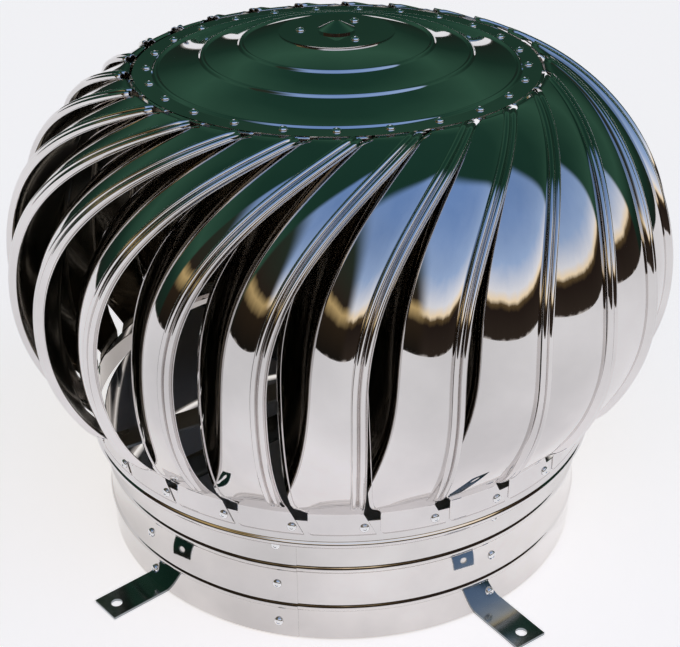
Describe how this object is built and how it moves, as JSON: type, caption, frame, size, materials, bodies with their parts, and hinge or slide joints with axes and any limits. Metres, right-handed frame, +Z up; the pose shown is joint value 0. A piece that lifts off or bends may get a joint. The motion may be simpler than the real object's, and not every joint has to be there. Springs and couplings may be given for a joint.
{
  "type": "roof turbine ventilator",
  "caption": "Wind-driven roof ventilator: a globe of curved, ribbed vanes under a round cap spins on a fixed shaft above a beaded duct neck with flat mounting feet.",
  "frame": {"origin": "on the spin axis, at the level of the undersides of the four mounting feet", "axes": "+Z up along the spin axis; X and Y along the sides of the rectangle of foot holes; -Y is the side with the neck's seam"},
  "size_m": [0.4721, 0.4725, 0.381],
  "materials": {
    "polished_stainless": "mirror-polished stainless sheet",
    "strap_steel": "smooth cold-rolled stainless strip",
    "plated_steel": "zinc-plated turned and pressed steel",
    "bearing_steel": "ground bearing steel",
    "rivet_steel": "bright blind-rivet heads"
  },
  "bodies": {
    "base": {"neck": "polished_stainless", "support_strap_a": "strap_steel", "support_strap_b": "strap_steel", "shaft": "plated_steel", "shaft_lower_nut": "plated_steel", "shaft_lower_washer": "plated_steel", "shaft_upper_nut": "plated_steel", "shaft_upper_washer": "plated_steel", "shaft_top_nut": "plated_steel", "lower_collar": "plated_steel", "upper_collar": "plated_steel", "lower_bearing_inner_race": "bearing_steel", "upper_bearing_inner_race": "bearing_steel", "strap_rivets": "rivet_steel", "neck_seam_rivets": "rivet_steel"},
    "rotor": {"cap": "polished_stainless", "cap_rivets": "rivet_steel", "housing_screws": "plated_steel", "hub_disc": "polished_stainless", "hub_dome": "polished_stainless", "hub_rivets": "rivet_steel", "lower_bearing_housing": "plated_steel", "lower_bearing_outer_race": "bearing_steel", "rotor_ring": "polished_stainless", "rotor_spider": "plated_steel", "upper_bearing_housing": "plated_steel", "upper_bearing_outer_race": "bearing_steel", "vane_01": "polished_stainless", "vane_02": "polished_stainless", "vane_03": "polished_stainless", "vane_04": "polished_stainless", "vane_05": "polished_stainless", "vane_06": "polished_stainless", "vane_07": "polished_stainless", "vane_08": "polished_stainless", "vane_09": "polished_stainless", "vane_10": "polished_stainless", "vane_11": "polished_stainless", "vane_12": "polished_stainless", "vane_13": "polished_stainless", "vane_14": "polished_stainless", "vane_15": "polished_stainless", "vane_16": "polished_stainless", "vane_17": "polished_stainless", "vane_18": "polished_stainless", "vane_19": "polished_stainless", "vane_20": "polished_stainless", "vane_21": "polished_stainless", "vane_22": "polished_stainless", "vane_23": "polished_stainless", "vane_24": "polished_stainless", "vane_25": "polished_stainless", "vane_foot_rivets": "rivet_steel"}
  },
  "joints": [
    {"name": "rotor_spin", "type": "hinge", "parent": "base", "child": "rotor", "pos_m": [0, 0, 0.2], "axis": [0, 0, 1], "continuous": true}
  ]
}
